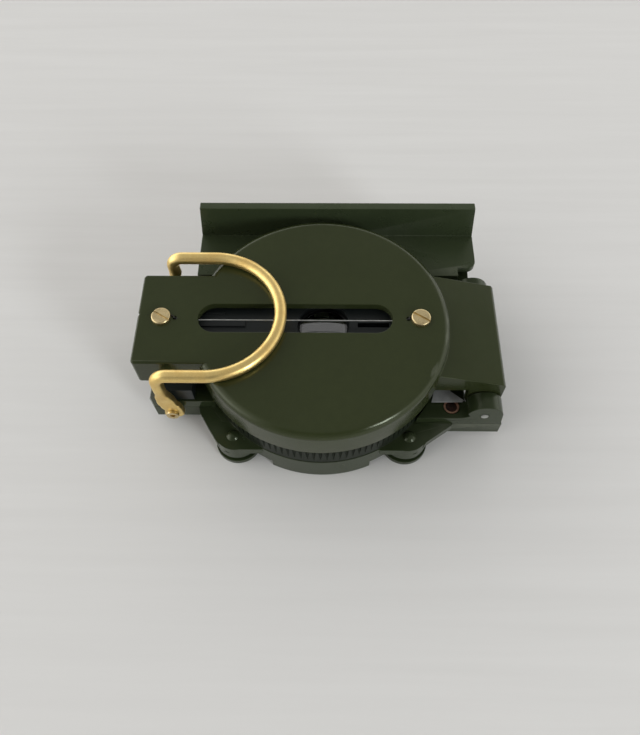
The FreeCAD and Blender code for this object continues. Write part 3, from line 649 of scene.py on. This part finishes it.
def make_card_print():
    """Degree marks, numbers and three of the four letters; the north arrow is a node of its own."""
    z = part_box("compass_card")[1].z / MM + PRINT_LIFT
    points, faces = [], []
    for i in range(MARKS):
        length = 1.9 if i % 10 == 0 else 1.3 if i % 5 == 0 else 0.8
        turn = math.radians(-360 / MARKS * i)
        flat_mark(-MARK_HALF, MARK_HALF, SCALE_R - length, SCALE_R, z, turn, points, faces)
    for degrees in range(0, 360, 30):
        add_text(str(degrees), NUMBER_SIZE, z, NUMBER_R, degrees, points, faces)
    print_piece(points, faces, "card_scale", MATERIALS["print_white"])
    points, faces = [], []
    for letter, degrees in (("E", 90), ("S", 180), ("W", 270)):
        add_text(letter, LETTER_SIZE, z, LETTER_R, degrees, points, faces)
    print_piece(points, faces, "card_letters", MATERIALS["luminous"])


# --- Stage and light ---
FLOOR_SIZE = 6
FLOOR_Z = -0.00002       # just under the object, so that the two faces don't coincide


def make_floor():
    """Pale table with faint streaks."""
    t = Tree("table")
    streak = t.noise(0.004, 4, 0.6, where=t.stretched((0.05, 1, 1), (0, 0, 0.06)), seed=1)
    cloud = t.noise(0.12, 2, 0.5, seed=2)
    tone = t.mix(t.fit(streak, 0.35, 0.7, 0, 1), (0.745, 0.738, 0.722), (0.785, 0.779, 0.764))
    tone = t.mix(t.fit(cloud, 0.3, 0.7, 0, 0.5), tone, (0.765, 0.757, 0.743))
    t.set(base_color=tone, roughness=0.55, normal=t.bump(streak, 0.00008, 0.3))
    bpy.ops.mesh.primitive_plane_add(size=FLOOR_SIZE, location=(0, 0, FLOOR_Z))
    floor = bpy.context.object
    floor.name = "table"
    floor.data.materials.append(t.material)


WINDOW_AT = (0.78, -0.80, 0.42)
WINDOW_SIZE = (0.26, 0.30)
WINDOW_POWER = 4.8
WINDOW_COLOUR = (0.93, 0.97, 1.0)


def make_window():
    """A small cool window on the near right, aimed at the object."""
    data = bpy.data.lights.new("side_window", "AREA")
    data.shape = "RECTANGLE"
    data.size, data.size_y = WINDOW_SIZE
    data.energy = WINDOW_POWER
    data.color = WINDOW_COLOUR
    light = bpy.data.objects.new("side_window", data)
    bpy.context.scene.collection.objects.link(light)
    light.location = WINDOW_AT
    light.rotation_euler = (-Vector(WINDOW_AT)).to_track_quat("-Z", "Y").to_euler()


OVERHEAD = 0.43          # radiance of the room straight above and beyond the object
LEFT = 0.90              # added radiance of the ceiling to the left
BAND = 1.10              # added radiance of the bright walls and windows all round
BAND_SLOPE = -0.30       # change of the band per unit towards +X, so it's brighter on the left
NEAR_DARK = 0.22         # share of the room's light left where whoever looks at the object stands
BAND_EDGE = (0.62, 0.34)       # heights between which the ceiling fades into the band
LEFT_EDGE = (-0.30, -0.75)     # X of the directions between which the left share comes in
NEAR_EDGE = (-0.35, -0.80)     # Y of the directions between which the near side darkens


def make_room():
    """A dim ceiling over bright walls, with a dark patch on the near side, as the world's light."""
    world = bpy.data.worlds.new("room")
    bpy.context.scene.world = world
    world.use_nodes = True
    nodes, link = world.node_tree.nodes, world.node_tree.links.new

    def arithmetic(operation, a, b):
        node = nodes.new("ShaderNodeMath")
        node.operation = operation
        for socket, value in zip(node.inputs, (a, b)):
            if isinstance(value, bpy.types.NodeSocket):
                link(value, socket)
            else:
                socket.default_value = value
        return node.outputs[0]

    def smooth(value, edge, out_low, out_high):
        node = nodes.new("ShaderNodeMapRange")
        node.interpolation_type = "SMOOTHSTEP"
        link(value, node.inputs["Value"])
        for key, number in (("From Min", edge[0]), ("From Max", edge[1]),
                            ("To Min", out_low), ("To Max", out_high)):
            node.inputs[key].default_value = number
        return node.outputs["Result"]

    split = nodes.new("ShaderNodeSeparateXYZ")
    link(nodes.new("ShaderNodeTexCoord").outputs["Generated"], split.inputs[0])
    low = smooth(split.outputs["Z"], BAND_EDGE, 0, 1)
    around = arithmetic("ADD", BAND, arithmetic("MULTIPLY", split.outputs["X"], BAND_SLOPE))
    left = smooth(split.outputs["X"], LEFT_EDGE, 0, LEFT)
    strength = arithmetic("ADD", OVERHEAD, arithmetic("MULTIPLY", low, around))
    strength = arithmetic("ADD", strength, left)
    near = smooth(split.outputs["Y"], NEAR_EDGE, 1, NEAR_DARK)
    background = nodes["Background"]
    background.inputs["Color"].default_value = (1.0, 0.99, 0.97, 1)
    link(arithmetic("MULTIPLY", strength, near), background.inputs["Strength"])


make_camera()
MATERIALS = make_materials()
dress_nodes(MATERIALS)
make_loop()
make_wire_tails()
make_card_print()
make_floor()
make_room()
make_window()
bpy.context.scene.view_settings.view_transform = "Standard"
